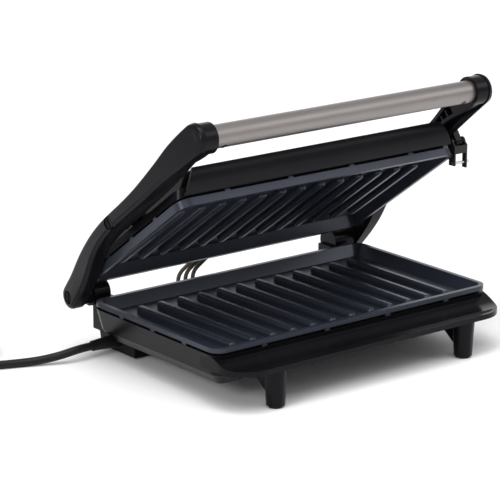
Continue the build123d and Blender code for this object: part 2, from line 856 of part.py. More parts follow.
def latch_clip():
    """The bent plate that swings under the right arm, closed."""
    outer_leg = latch_leg(latch_end - latch_leg_thickness, latch_outer_leg_width, latch_outer_leg_length)
    inner_leg = latch_leg(latch_leg_inner, latch_inner_leg_width, latch_inner_leg_length)
    web = Pos(latch_leg_inner, -latch_web_start, latch_front) * Box(
        latch_leg_gap, latch_web_end - latch_web_start, latch_leg_thickness,
        align=(Align.MIN, Align.MAX, Align.MAX),
    )
    clip = outer_leg + inner_leg + web
    clip -= across(latch_pin_radius + running_clearance, latch_leg_inner, latch_end, 0, 0)
    clip -= across(
        latch_bar_radius + fit_clearance, latch_leg_inner, latch_end, -latch_bar_along, latch_bar_forward
    )
    return hung(clip)


def latch_bar():
    """The steel rod across the latch's legs, closed."""
    end = latch_end + latch_bar_overhang
    return hung(across(latch_bar_radius, latch_leg_inner, end, -latch_bar_along, latch_bar_forward))


def route(points):
    """A tube path of straight runs and the largest tangent arcs they allow; prints the bend radii."""
    radii = []
    for before, here, after in zip(points, points[1:], points[2:]):
        arriving = Vector(*here) - Vector(*before)
        leaving = Vector(*after) - Vector(*here)
        turn = radians(arriving.get_angle(leaving))
        radii.append(bend_share * min(arriving.length, leaving.length) / tan(turn / 2))
    print("bend radii", [round(r, 1) for r in radii])
    return FilletPolyline(points, radius=radii)


def tube_along(path, radius, name):
    """A round tube swept along a path; prints its volume beside section times length."""
    tube = sweep(Plane(origin=path @ 0, z_dir=path % 0) * Circle(radius), path=path)
    print(name, "length", round(path.length, 1), "volume", round(tube.volume, 1))
    print("section times length", round(pi * radius ** 2 * path.length, 1))
    return tube


def wire_middle(first):
    """X place of the middle link wire, from the first one's."""
    return first + (wire_count - 1) / 2 * wire_spacing


def grommet():
    """An oblong bush with a hole for each link wire, its flange on the +Y side of Y 0."""
    bush = Box(
        grommet_length, wall + grommet_flange / 2, grommet_height,
        align=(Align.CENTER, Align.MAX, Align.CENTER),
    )
    bush += Box(
        grommet_length + 2 * grommet_lip, grommet_flange, grommet_height + 2 * grommet_lip,
        align=(Align.CENTER, Align.MIN, Align.CENTER),
    )
    for number in range(wire_count):
        hole = Rot(90, 0, 0) * Cylinder(wire_radius + fit_clearance, cut_through * wall)
        bush -= Pos(wire_middle(0) - number * wire_spacing, 0, 0) * hole
    return bush


def link_wires():
    """The heat-proof wires from the base to the lid, at the lid's resting angle."""
    swing = radians(open_angle)
    outward = Vector(0, cos(swing), -sin(swing))
    start_y = base_rear_wall(wire_base_z) - wall
    wires = []
    for number in range(wire_count):
        high_x = wire_lid_x + number * wire_spacing
        start = Vector(wire_base_x + number * wire_spacing, start_y, wire_base_z)
        bow = start + Vector(0, wall + wire_bow, 0)
        entry = opened(Vertex(high_x, lid_rear - wall, lid_rim + wire_lid_height)).center()
        outside = entry + outward * (wall + wire_lid_bow)
        bends = [bow, bow + Vector(wire_low_bend), bow + Vector(wire_high_bend), outside]
        wires.append(tube_along(route([tuple(p) for p in (start, *bends, entry)]), wire_radius, "link wire"))
    return wires


def strain_relief():
    """The tapered bush that the cord leaves the left rear foot by, moulded onto the cord."""
    seat = across(relief_root_radius, rear_foot_outer - relief_seat, rear_foot_outer, relief_y, relief_z)
    taper = Pos(rear_foot_outer, relief_y, relief_z) * Rot(0, 90, 0) * Cone(
        relief_root_radius, relief_tip_radius, relief_length, align=standing
    )
    return mirrored(seat + taper)


def coil_point(turn):
    """A point of the coil's centre line after so many turns, spiralling in and then out a layer higher."""
    halfway = coil_turns / 2
    reach = coil_outer_radius - coil_pitch * (halfway - abs(turn - halfway))
    angle = coil_direction + pi / 2 - 2 * pi * turn
    climb = min(max((turn - halfway + coil_climb / 2) / coil_climb, 0.0), 1.0)
    height = coil_height + coil_pitch * (1 - cos(pi * climb)) / 2
    return coil_centre + Vector(reach * cos(angle), reach * sin(angle), height)


def coil_heading_at(turn):
    """Direction of the coil's centre line after so many turns."""
    if turn in (0, coil_turns):
        return coil_ahead
    return (coil_point(turn + coil_step) - coil_point(turn - coil_step)).normalized()


def two_arcs(start, start_dir, end, end_dir):
    """Two tangent arcs from one point and direction to another."""
    chord = end - start
    a = 2 * (1 - start_dir.dot(end_dir))
    b = 2 * chord.dot(start_dir + end_dir)
    c = -chord.dot(chord)
    reach = (-b + (b * b - 4 * a * c) ** 0.5) / (2 * a)
    middle = (start + end + (start_dir - end_dir) * reach) * 0.5
    first = Edge.make_tangent_arc(start, start_dir, middle)
    return [first, Edge.make_tangent_arc(middle, first % 1, end)]


def coil_path():
    """The coil's centre line: a straight end, quarter turns of two arcs each, a straight end."""
    stub = coil_ahead * (2 * cord_radius)
    edges = [Edge.make_line(coil_point(0) - stub, coil_point(0))]
    quarters = 4 * coil_turns
    for number in range(quarters):
        here, there = number / 4, (number + 1) / 4
        edges += two_arcs(coil_point(here), coil_heading_at(here), coil_point(there), coil_heading_at(there))
    edges.append(Edge.make_line(coil_point(coil_turns), coil_point(coil_turns) + coil_ahead * coil_tail))
    return Wire(edges)


def least_gap(path, radius):
    """Smallest clear distance between stretches of a tube that are over a quarter turn apart."""
    count = gap_dots_per_turn * coil_turns
    dots = [path.position_at(number / count) for number in range(count + 1)]
    apart = count // (4 * coil_turns)
    nearest = min((b - a).length for i, a in enumerate(dots) for b in dots[i + apart:])
    return nearest - 2 * radius


def cord_tie():
    """The band that holds the coil together, opposite the coil's ends."""
    inner_turn, outer_turn = coil_point(coil_tie_turn + 1), coil_point(coil_tie_turn)
    middle = (inner_turn + outer_turn) * 0.5
    radial = (outer_turn - inner_turn).length + 2 * (cord_radius + tie_clearance)
    height = coil_pitch + 2 * (cord_radius + tie_clearance)
    opening = Box(radial, 2 * tie_width, height)
    band = Box(radial + 2 * tie_thickness, tie_width, height + 2 * tie_thickness) - opening
    turned = degrees(coil_direction) + 90 - 360 * coil_tie_turn
    return Pos(middle.X, middle.Y, coil_height + coil_pitch / 2) * Rot(0, 0, turned) * band


def plug_frame():
    """Plane at the plug's cord end, Z along the cord and X level."""
    end = coil_point(coil_turns) + coil_ahead * coil_tail
    return Plane(origin=end, x_dir=(coil_ahead.Y, -coil_ahead.X, 0), z_dir=coil_ahead)


def plug_body():
    """The moulded plug with its flexible neck, lying on the worktop."""
    thickness = 2 * (coil_height + coil_pitch)
    root = 2 * plug_neck_root_radius
    shoulder_end = plug_neck + plug_shoulder
    neck = Cone(plug_neck_radius, plug_neck_root_radius, plug_neck, align=standing)
    outline = Pos(0, 0, shoulder_end) * RectangleRounded(plug_width, thickness, plug_corner)
    shoulder = skin([
        Pos(0, 0, plug_neck) * RectangleRounded(root, root, plug_neck_root_radius - fit_clearance), outline,
    ])
    grip = extrude(outline, plug_body_length)
    grip = fillet(grip.faces().sort_by(Axis.Z)[-1].edges(), plug_round)
    body = neck + shoulder + grip
    for side in (-1, 1):
        hole = Cylinder(plug_pin_radius + running_clearance, plug_pin_seat, align=standing)
        body -= Pos(side * plug_pin_spacing / 2, 0, shoulder_end + plug_body_length - plug_pin_seat) * hole
    return plug_frame() * body


def plug_pins():
    """The plug's two round contact pins."""
    start = plug_neck + plug_shoulder + plug_body_length - plug_pin_seat
    pins = []
    for side in (-1, 1):
        pin = Cylinder(plug_pin_radius, plug_pin_seat + plug_pin_length, align=standing)
        pin = fillet(pin.faces().sort_by(Axis.Z)[-1].edges(), plug_pin_radius / 2)
        pins.append(plug_frame() * Pos(side * plug_pin_spacing / 2, 0, start) * pin)
    return pins


def lower_pieces():
    """Everything that stands still on the worktop."""
    underside = rim_top - tray_depth - plate_floor
    over_reflector = reflector_height + reflector_thickness
    screw_seat = housing_bottom + plate_screw_head + fit_clearance
    places = boss_places(lower_plate_depth)
    screw = plate_screw(over_reflector + plate_screw_bite - screw_seat)
    pads = []
    for side in (-1, 1):
        pads.append(Pos(side * front_foot_x, apron_front + front_foot_setback, foot_pad / 2) * Cylinder(
            front_foot_pad_radius, foot_pad
        ))
        middle_x = side * (rear_foot_inner + rear_foot_outer) / 2
        middle_y = (rear_foot_front + rear_foot_rear) / 2
        pads.append(Pos(middle_x, middle_y, foot_pad / 2) * Box(
            rear_foot_outer - rear_foot_inner - 2 * rear_pad_inset,
            rear_foot_rear - rear_foot_front - 2 * rear_pad_inset, foot_pad,
        ))
    lug_height = rim_top - lower_rim_height - housing_top
    return {
        "base_housing": base_housing(),
        "lower_plate": Pos(0, 0, rim_top) * ribbed_plate(
            lower_plate_depth, lower_rim_height, lower_rib_count, lower_rib_rear_margin,
            lower_rib_front_margin, underside - over_reflector, lug_height,
        ),
        "lower_element": Pos(0, 0, underside - element_radius - running_clearance) * heating_element(
            lower_plate_depth
        ),
        "lower_reflector": Pos(0, 0, reflector_height) * reflector(lower_plate_depth),
        "lower_plate_screws": [Pos(x, y, screw_seat) * screw for x, y in places],
        "thermostat": Pos(thermostat_x, 0, underside - thermostat_height / 2) * Cylinder(
            thermostat_radius, thermostat_height
        ),
        "thermal_fuse": Pos(0, fuse_y, underside - fuse_radius) * Rot(0, 90, 0) * Cylinder(
            fuse_radius, fuse_length
        ),
        "terminal_block": Pos(terminal_x, terminal_y, inner_floor + terminal_height / 2) * Box(
            terminal_length, terminal_width, terminal_height
        ),
        "foot_pads": pads,
        "hinge_screws": shoulder_screws(hinge_screw_radius, hinge_screw_tip, hinge_y, hinge_z),
        "base_grommet": Pos(wire_middle(wire_base_x), base_grommet_y, wire_base_z) * grommet(),
        "link_wires": link_wires(),
        "strain_relief": strain_relief(),
    }


def cord_pieces():
    """The mains cord from the strain relief to the plug."""
    tip = (relief_tip, relief_y, relief_z)
    points = [(relief_tip + x, y, z) for x, y, z in cord_points]
    entry = coil_point(0) - coil_ahead * (2 * cord_radius)
    approach = entry - coil_ahead * coil_approach
    cord_route = [tip, *points, tuple(approach), tuple(entry)]
    print("cord route", [tuple(round(value, 3) for value in point) for point in cord_route])
    coil = coil_path()
    print("coil least gap", round(least_gap(coil, cord_radius), 3))
    return {
        "power_cord": tube_along(route(cord_route), cord_radius, "power cord"),
        "cord_coil": tube_along(coil, cord_radius, "cord coil"),
        "cord_tie": cord_tie(),
        "plug_body": plug_body(),
        "plug_pins": plug_pins(),
    }


def swinging_pieces():
    """The lid, its arms, the handle and the latch, all drawn closed."""
    plate_y = lid_rear - upper_plate_depth / 2
    top_side = lid_rim + tray_depth + plate_floor
    over_bosses = top_side + upper_boss_length
    over_reflector = over_bosses + reflector_thickness
    screw = Rot(0, 180, 0) * plate_screw(plate_screw_bite)
    return {
        "left_arm": mirrored(side_arm(False)),
        "right_arm": side_arm(True),
        "handle_tube": handle_tube(),
        "handle_screws": handle_screws(),
        "latch_pin": across(latch_pin_radius, latch_leg_inner, latch_end, latch_y, latch_z),
        "lid_shell": lid_shell(),
        "front_fascia": front_fascia(),
        "upper_plate": Pos(0, plate_y, lid_rim) * Rot(0, 180, 0) * ribbed_plate(
            upper_plate_depth, upper_rim_height, upper_rib_count, upper_rib_rear_margin,
            upper_rib_front_margin, upper_boss_length, lid_gap,
        ),
        "upper_element": Pos(0, plate_y, top_side + element_radius + running_clearance) * heating_element(
            upper_plate_depth
        ),
        "upper_reflector": Pos(0, plate_y, over_bosses) * reflector(upper_plate_depth),
        "upper_plate_screws": [
            Pos(x, plate_y + y, over_reflector) * screw for x, y in boss_places(upper_plate_depth)
        ],
        "pivot_screws": shoulder_screws(
            pivot_screw_radius, arm_inner - side_gap - pivot_boss_depth + wall, pivot_y, pivot_z
        ),
        "power_lens": indicator_lens(lens_places[0]),
        "ready_lens": indicator_lens(lens_places[1]),
        "indicator_lamps": [neon_lamp(x) for x in lens_places],
        "lid_grommet": Pos(wire_middle(wire_lid_x), lid_rear, lid_rim + wire_lid_height) * grommet(),
        "latch_clip": latch_clip(),
        "latch_bar": latch_bar(),
    }


def main():
    """Build every piece and write each to its own file."""
    os.makedirs("parts", exist_ok=True)
    pieces = {**lower_pieces(), **cord_pieces()}
    for name, piece in swinging_pieces().items():
        pieces[name] = [opened(one) for one in piece] if isinstance(piece, list) else opened(piece)
    for name, piece in pieces.items():
        solids = [solid for one in (piece if isinstance(piece, list) else [piece]) for solid in one.solids()]
        print(name, len(solids), "solids", round(sum(solid.volume for solid in solids) / 1000, 2), "cm3")
        export_step(solids[0] if len(solids) == 1 else Compound(solids), f"parts/{name}.step")


if __name__ == "__main__":
    main()
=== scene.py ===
"""Dresses the panini press in its finishes and sets it on a pale studio floor."""

from math import cos, pi, radians, sin
from typing import NamedTuple

import bmesh
import bpy
from bpy.props import FloatProperty, FloatVectorProperty, IntProperty, PointerProperty
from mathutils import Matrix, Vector


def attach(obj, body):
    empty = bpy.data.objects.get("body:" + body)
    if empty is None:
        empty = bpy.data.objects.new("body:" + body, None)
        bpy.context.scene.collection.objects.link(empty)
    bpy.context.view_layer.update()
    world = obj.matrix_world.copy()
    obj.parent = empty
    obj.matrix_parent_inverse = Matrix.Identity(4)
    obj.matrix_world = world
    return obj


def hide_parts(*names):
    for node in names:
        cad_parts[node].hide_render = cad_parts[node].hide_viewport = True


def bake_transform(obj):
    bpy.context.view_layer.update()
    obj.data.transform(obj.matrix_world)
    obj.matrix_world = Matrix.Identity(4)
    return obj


bl_info = {
    "name": "Panini press",
    "version": (1, 0, 0),
    "blender": (4, 5, 0),
    "location": "3D View > Sidebar > Press",
    "description": "Finishes, cord and studio for a panini press",
    "category": "Object",
}

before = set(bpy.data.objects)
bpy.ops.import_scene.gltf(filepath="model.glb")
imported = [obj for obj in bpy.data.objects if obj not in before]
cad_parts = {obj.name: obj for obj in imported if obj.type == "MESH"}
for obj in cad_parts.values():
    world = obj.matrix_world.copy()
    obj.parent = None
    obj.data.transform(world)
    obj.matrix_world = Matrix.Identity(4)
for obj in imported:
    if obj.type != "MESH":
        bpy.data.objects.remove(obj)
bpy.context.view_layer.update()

# Stretch of a metal's grain: lines along X, lines along Z, or an even grain
lines_along_x = (0.02, 1.0, 1.0)
lines_along_z = (1.0, 1.0, 0.1)
even_grain = (1.0, 1.0, 1.0)


class PressCord(bpy.types.PropertyGroup):
    """Sizes of the mains cord and its coil."""

    diameter: FloatProperty(
        name="Diameter", description="Thickness of the cord's jacket", default=0.0055, unit="LENGTH"
    )
    lift: FloatProperty(
        name="Coil lift", description="Height of the coil's underside, to leave room for the tie",
        default=0.0016, unit="LENGTH",
    )
    heading: FloatProperty(
        name="Coil heading", description="Direction in which the cord reaches the coil",
        default=radians(162.5), subtype="ANGLE",
    )
    start: FloatVectorProperty(
        name="Coil start", description="Where the outermost turn begins",
        default=(-0.206, 0.097, 0.0), subtype="TRANSLATION",
    )
    outer_radius: FloatProperty(
        name="Outer radius", description="Radius of the outermost turn", default=0.038, unit="LENGTH"
    )
    pitch: FloatProperty(
        name="Pitch", description="Step between turns and between layers", default=0.0061, unit="LENGTH"
    )
    turns: IntProperty(name="Turns", description="Turns in the coil's two layers", default=4)
    approach: FloatProperty(
        name="Approach", description="Straight run before the coil", default=0.0095, unit="LENGTH"
    )
    tail: FloatProperty(
        name="Tail", description="Straight run from the coil to the plug", default=0.022, unit="LENGTH"
    )


class PressFinish(bpy.types.PropertyGroup):
    """Colours of the press."""

    housing: FloatVectorProperty(
        name="Housing", description="Black moulded housing", default=(0.0045, 0.0042, 0.0048), subtype="COLOR"
    )
    arm: FloatVectorProperty(
        name="Arms", description="Charcoal moulded arms", default=(0.0060, 0.0058, 0.0068), subtype="COLOR"
    )
    plate: FloatVectorProperty(
        name="Plates", description="Non-stick coating", default=(0.0200, 0.0228, 0.0330), subtype="COLOR"
    )
    tube: FloatVectorProperty(
        name="Bar", description="Satin metal of the bar handle", default=(0.30, 0.275, 0.27), subtype="COLOR"
    )
    cord: FloatVectorProperty(
        name="Cord", description="Cord jacket", default=(0.006, 0.006, 0.0065), subtype="COLOR"
    )
    wire: FloatVectorProperty(
        name="Wire sleeves", description="Dark brown woven sleeve",
        default=(0.09, 0.062, 0.05), subtype="COLOR",
    )


class PressWires(bpy.types.PropertyGroup):
    """Sizes of the wires between base and lid."""

    diameter: FloatProperty(
        name="Diameter", description="Thickness of a sleeved wire", default=0.0028, unit="LENGTH"
    )
    spacing: FloatProperty(
        name="Spacing", description="Step from one wire to the next", default=0.0062, unit="LENGTH"
    )
    count: IntProperty(name="Count", description="Number of wires", default=3)


class PressStudio(bpy.types.PropertyGroup):
    """Camera and light of the studio."""

    camera: FloatVectorProperty(
        name="Camera", description="Where the camera stands",
        default=(-0.97423, -1.19297, 0.50783), subtype="TRANSLATION",
    )
    azimuth: FloatProperty(
        name="Azimuth", description="Direction the camera looks, from +Y to +X",
        default=radians(38.197), subtype="ANGLE",
    )
    elevation: FloatProperty(
        name="Elevation", description="How far the camera looks down",
        default=radians(15.906), subtype="ANGLE",
    )
    lens: FloatProperty(name="Lens", description="Focal length in millimetres", default=174.85)
    sun_power: FloatProperty(name="Sun power", description="Strength of the broad light", default=1.4)
    sun_spread: FloatProperty(
        name="Sun spread", description="How wide the broad light is", default=radians(50.0), subtype="ANGLE"
    )
    key_power: FloatProperty(name="Key power", description="Strength of the overhead light", default=4.0)
    side_power: FloatProperty(name="Side power", description="Strength of the light at the left", default=4.0)
    rear_power: FloatProperty(name="Rear power", description="Strength of the light behind", default=3.8)
    front_power: FloatProperty(
        name="Front power", description="Strength of the light at the front right", default=3.5
    )
    sky: FloatProperty(name="Sky", description="Strength of the even white surround", default=0.5)


class Wired:
    """A shader socket that takes part in Python expressions."""

    def __init__(self, tree, socket):
        self.tree = tree
        self.socket = socket

    def math(self, operation, first, second):
        """One Math node on two values."""
        node = self.tree.nodes.new("ShaderNodeMath")
        node.operation = operation
        feed(self.tree, node.inputs[0], first)
        feed(self.tree, node.inputs[1], second)
        return Wired(self.tree, node.outputs[0])

    def __add__(self, other):
        return self.math("ADD", self, other)

    __radd__ = __add__

    def __mul__(self, other):
        return self.math("MULTIPLY", self, other)

    __rmul__ = __mul__

    def __sub__(self, other):
        return self.math("SUBTRACT", self, other)

    def __rsub__(self, other):
        return self.math("SUBTRACT", other, self)


def feed(tree, socket, value):
    """Link a socket to a wired value, or set it."""
    if isinstance(value, Wired):
        tree.links.new(value.socket, socket)
    else:
        socket.default_value = value


class Finish:
    """A new material with a Principled shader and the patterns that finishes share."""

    noise_roughness = 0.55
    # Sockets of the Mix node that serve colours
    mix_factor = 0
    mix_colours = (6, 7)
    mix_result = 2

    def __init__(self, name, **constants):
        self.material = bpy.data.materials.new(name)
        self.material.use_nodes = True
        self.tree = self.material.node_tree
        self.shader = self.tree.nodes["Principled BSDF"]
        self.set(**constants)
        self.place = self.node("ShaderNodeTexCoord", output="Object")

    def node(self, kind, settings=(), output=0, **values):
        """A node of any type: settings first, then socket values by name with spaces as underscores."""
        node = self.tree.nodes.new(kind)
        for name, value in dict(settings).items():
            setattr(node, name, value)
        for name, value in values.items():
            feed(self.tree, node.inputs[name.replace("_", " ")], value)
        return Wired(self.tree, node.outputs[output])

    def noise(self, scale, detail, stretch=even_grain):
        """Noise in the object's own metres, optionally stretched."""
        place = self.place
        if stretch != even_grain:
            place = self.node("ShaderNodeMapping", Vector=place, Scale=stretch)
        return self.node(
            "ShaderNodeTexNoise", Vector=place, Scale=scale, Detail=detail, Roughness=self.noise_roughness
        )

    def patches(self, scale, detail, low=0.3, high=0.7):
        """Soft patches from 0 to 1: noise spread out between two of its levels."""
        return self.node(
            "ShaderNodeMapRange", {"clamp": True}, Value=self.noise(scale, detail),
            From_Min=low, From_Max=high, To_Min=0.0, To_Max=1.0,
        )

    def mix(self, factor, *colours):
        """Two colours mixed by a value."""
        node = self.tree.nodes.new("ShaderNodeMix")
        node.data_type = "RGBA"
        feed(self.tree, node.inputs[self.mix_factor], factor)
        for socket, colour in zip(self.mix_colours, colours):
            feed(self.tree, node.inputs[socket], colour if isinstance(colour, Wired) else (*colour, 1.0))
        return Wired(self.tree, node.outputs[self.mix_result])

    def shades(self, factor, colour, darkest, lightest):
        """A colour that runs from a darker to a lighter shade of itself with a value."""
        return self.mix(factor, shade(colour, darkest), shade(colour, lightest))

    def bump(self, height, distance, strength):
        """Feed a height to the surface's normal."""
        self.set(Normal=self.node("ShaderNodeBump", Height=height, Distance=distance, Strength=strength))

    def set(self, **values):
        """Feed the shader's sockets and hand back the material."""
        for name, value in values.items():
            feed(self.tree, self.shader.inputs[name.replace("_", " ")], value)
        return self.material


def shade(colour, brightness):
    """A colour scaled in brightness."""
    return tuple(channel * brightness for channel in colour)


def moulded(name, colour, roughness):
    """Moulded plastic: a fine spark-eroded grain, slight mottling and rubbed patches."""
    finish = Finish(name, Specular_IOR_Level=0.13, Specular_Tint=(0.86, 0.89, 1.0, 1.0))
    mottle = finish.patches(scale=22.0, detail=4.0)
    rubbed = finish.patches(scale=9.0, detail=5.0, low=0.45, high=0.75)
    finish.bump(finish.noise(scale=2600.0, detail=2.0), distance=0.00003, strength=0.5)
    tint = finish.shades(mottle, colour, darkest=0.82, lightest=1.22)
    return finish.set(Base_Color=tint, Roughness=roughness + 0.06 * mottle - 0.05 * rubbed)


def nonstick(name, colour):
    """Dark non-stick coating over cast metal, with a faint sparkle and a sprayed texture."""
    finish = Finish(name, Specular_IOR_Level=0.45, Specular_Tint=(0.8, 0.86, 1.0, 1.0))
    cloud = finish.patches(scale=16.0, detail=4.0)
    flecks = finish.patches(scale=3800.0, detail=1.0, low=0.68, high=0.75)
    base = finish.shades(cloud, colour, darkest=0.85, lightest=1.18)
    speckled = finish.mix(0.35 * flecks, base, shade(colour, brightness=3.0))
    finish.bump(finish.noise(scale=900.0, detail=3.0), distance=0.00006, strength=0.4)
    return finish.set(Base_Color=speckled, Metallic=0.1 + 0.15 * flecks, Roughness=0.3 + 0.08 * cloud)


def drawn_metal(name, colour, roughness, grain=lines_along_x, metallic=1.0):
    """Metal with fine lines drawn along one direction, or with an even grain."""
    finish = Finish(name, Metallic=metallic)
    lines = finish.noise(scale=2400.0, detail=3.0, stretch=grain)
    cloud = finish.patches(scale=18.0, detail=3.0)
    tint = finish.shades(lines, colour, darkest=0.86, lightest=1.12)
    finish.bump(lines, distance=0.00002, strength=0.4)
    return finish.set(Base_Color=tint, Roughness=roughness + 0.12 * lines + 0.05 * cloud)


def rubbery(name, colour, roughness):
    """Cord jacket, feet, grommets, tie and plug: matte with faint moulding marks and dust."""
    finish = Finish(name, Specular_IOR_Level=0.22)
    cloud = finish.patches(scale=60.0, detail=4.0, low=0.35)
    dust = finish.patches(scale=150.0, detail=5.0, low=0.6, high=0.8)
    dust_colour = (0.18, 0.17, 0.16)
    tint = finish.shades(cloud, colour, darkest=0.85, lightest=1.25)
    finish.bump(finish.noise(scale=1800.0, detail=2.0), distance=0.00004, strength=0.5)
    dusty = finish.mix(0.05 * dust, tint, dust_colour)
    return finish.set(Base_Color=dusty, Roughness=roughness + 0.1 * cloud)


def braided(name, colour):
    """Heat-proof woven sleeve with crossing threads."""
    finish = Finish(name, Sheen_Weight=0.15)
    waves = []
    for tilt in (pi / 4, -pi / 4):
        turned = finish.node("ShaderNodeMapping", Vector=finish.place, Rotation=(0.0, 0.0, tilt))
        waves.append(finish.node("ShaderNodeTexWave", {"bands_direction": "Z"}, Vector=turned, Scale=420.0))
    threads = waves[0] * waves[1]
    fuzz = finish.noise(scale=900.0, detail=3.0)
    tint = finish.shades(threads, colour, darkest=0.55, lightest=1.5)
    finish.bump(threads + 0.3 * fuzz, distance=0.00012, strength=0.7)
    return finish.set(Base_Color=tint, Roughness=0.75 - 0.1 * threads)


def lens_plastic(name, colour):
    """Tinted clear plastic whose colour is broken into small facets."""
    finish = Finish(name, Transmission_Weight=0.45, IOR=1.49)
    facets = finish.node("ShaderNodeTexVoronoi", Vector=finish.place, Scale=900.0)
    cloud = finish.noise(scale=80.0, detail=3.0)
    tint = finish.shades(facets, colour, darkest=0.7, lightest=1.3)
    return finish.set(Base_Color=tint, Roughness=0.1 + 0.08 * cloud)


def fired_clay(name, colour):
    """Unglazed technical ceramic."""
    finish = Finish(name, Specular_IOR_Level=0.3)
    grains = finish.noise(scale=1400.0, detail=4.0)
    cloud = finish.patches(scale=70.0, detail=4.0)
    tint = finish.shades(cloud, colour, darkest=0.88, lightest=1.06)
    finish.bump(grains, distance=0.00008, strength=0.6)
    return finish.set(Base_Color=tint, Roughness=0.7 + 0.15 * grains)


def clear_glass(name, warm, clear):
    """Thin clear glass that varies between two tints."""
    finish = Finish(name, Transmission_Weight=0.9, IOR=1.45)
    cloud = finish.patches(scale=300.0, detail=3.0)
    return finish.set(Base_Color=finish.mix(cloud, warm, clear), Roughness=0.04 + 0.06 * cloud)


def wear(material, *names):
    """Give CAD nodes a material."""
    for name in names:
        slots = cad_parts[name].data.materials
        slots.clear()
        slots.append(material)


def flexible(name, diameter, routes, roundness, smoothness):
    """A curve of round lines that run smoothly along their routes."""
    curve = bpy.data.curves.new(name, "CURVE")
    curve.dimensions = "3D"
    curve.bevel_depth = diameter / 2
    curve.bevel_resolution = roundness
    curve.use_fill_caps = True
    for route in routes:
        spline = curve.splines.new("NURBS")
        spline.points.add(len(route) - 1)
        for control, point in zip(spline.points, route):
            control.co = (*point, 1.0)
        spline.order_u = 3
        spline.use_endpoint_u = True
        spline.resolution_u = smoothness
    return curve


class PRESS_OT_cord(bpy.types.Operator):
    """Lay the mains cord from its strain relief to the coil and the plug"""

    bl_idname = "press.cord"
    bl_label = "Mains cord"

    route = (
        (-0.1160, 0.0660, 0.0090), (-0.1235, 0.0660, 0.0090), (-0.1315, 0.0674, 0.0077),
        (-0.1390, 0.0702, 0.0058), (-0.1470, 0.0742, 0.0041), (-0.1555, 0.0784, 0.0030),
        (-0.1645, 0.0822, 0.00275), (-0.1735, 0.0855, 0.00275), (-0.1825, 0.0889, 0.0032),
    )
    points_per_turn = 16
    # Part of a turn in which the cord climbs from the lower layer to the upper one
    climb = 0.5

    def coil_points(self, cord):
        """Points of the coil: in on the lower layer, out on the upper one."""
        ahead = Vector((cos(cord.heading), sin(cord.heading), 0.0))
        start = Vector(cord.start)
        centre = start + cord.outer_radius * Vector((ahead.y, -ahead.x, 0.0))
        low = cord.diameter / 2 + cord.lift
        halfway = cord.turns / 2
        # The line runs inside its control points, so they stand a little outside the coil
        swell = 1 / cos(pi / self.points_per_turn) ** 0.5
        points = []
        for number in range(cord.turns * self.points_per_turn + 1):
            turn = number / self.points_per_turn
            reach = (cord.outer_radius - cord.pitch * (halfway - abs(turn - halfway))) * swell
            angle = cord.heading + pi / 2 - 2 * pi * turn
            climbed = min(max((turn - halfway + self.climb / 2) / self.climb, 0.0), 1.0)
            height = low + cord.pitch * (1 - cos(pi * climbed)) / 2
            points.append(centre + Vector((reach * cos(angle), reach * sin(angle), height)))
        entry = start + Vector((0.0, 0.0, low)) - ahead * cord.diameter
        leave = start + Vector((0.0, 0.0, low + cord.pitch)) + ahead * cord.tail
        return [entry - ahead * cord.approach, entry, *points, leave]

    def execute(self, context):
        cord = context.scene.press_cord
        points = [Vector(point) for point in self.route] + self.coil_points(cord)
        curve = flexible("mains_cord", cord.diameter, [points], roundness=6, smoothness=8)
        line = bpy.data.objects.new("mains_cord", curve)
        context.collection.objects.link(line)
        curve.materials.append(rubbery("cord jacket", tuple(context.scene.press_finish.cord), roughness=0.42))
        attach(line, "base")
        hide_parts("power_cord", "cord_coil")
        return {"FINISHED"}


class PRESS_OT_wires(bpy.types.Operator):
    """Draw the sleeved wires that link the base to the lid"""

    bl_idname = "press.wires"
    bl_label = "Link wires"

    # The first wire; the others run beside it
    route = (
        (-0.0338, 0.06303, 0.0260), (-0.0338, 0.07903, 0.0260), (-0.0322, 0.08503, 0.0373),
        (-0.0202, 0.08603, 0.0442), (-0.0120, 0.08040, 0.05424), (-0.0120, 0.07352, 0.05915),
    )
    # Points of the route just outside the base, at the last bend and just outside the lid
    landmarks = (1, 3, 4)

    def execute(self, context):
        wires = context.scene.press_wires
        low, bend, high = (Vector((0.0, *self.route[place][1:])) for place in self.landmarks)
        middle = (bend + high) / 2
        whole = self.sleeves(context, wires)
        whole.materials.clear()
        whole.materials.append(braided("woven sleeve", tuple(context.scene.press_finish.wire)))
        for name, beyond, bodies, ends in (
            ("link_wires_low", False, ("base", "handle_frame"), (low, middle)),
            ("link_wires_high", True, ("handle_frame", "lid"), (middle, high)),
        ):
            part = bpy.data.objects.new(name, self.cut(whole, middle, high - bend, beyond))
            context.collection.objects.link(part)
            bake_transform(part)
            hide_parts("link_wires")
        return {"FINISHED"}

    def sleeves(self, context, wires):
        """All wires at full length as one mesh."""
        steps_aside = [Vector((number * wires.spacing, 0.0, 0.0)) for number in range(wires.count)]
        routes = [[Vector(point) + aside for point in self.route] for aside in steps_aside]
        curve = flexible("sleeved_wires", wires.diameter, routes, roundness=5, smoothness=12)
        drawn = bpy.data.objects.new("sleeved_wires", curve)
        context.collection.objects.link(drawn)
        mesh = bpy.data.meshes.new_from_object(drawn.evaluated_get(context.evaluated_depsgraph_get()))
        bpy.data.objects.remove(drawn)
        return mesh

    def cut(self, mesh, middle, along, beyond):
        """A copy of a mesh with only its faces on one side of a plane, smoothly shaded."""
        part = mesh.copy()
        shape = bmesh.new()
        shape.from_mesh(part)
        dropped = [
            face for face in shape.faces if ((face.calc_center_median() - middle).dot(along) > 0) != beyond
        ]
        bmesh.ops.delete(shape, geom=dropped, context="FACES")
        for face in shape.faces:
            face.smooth = True
        shape.to_mesh(part)
        shape.free()
        return part


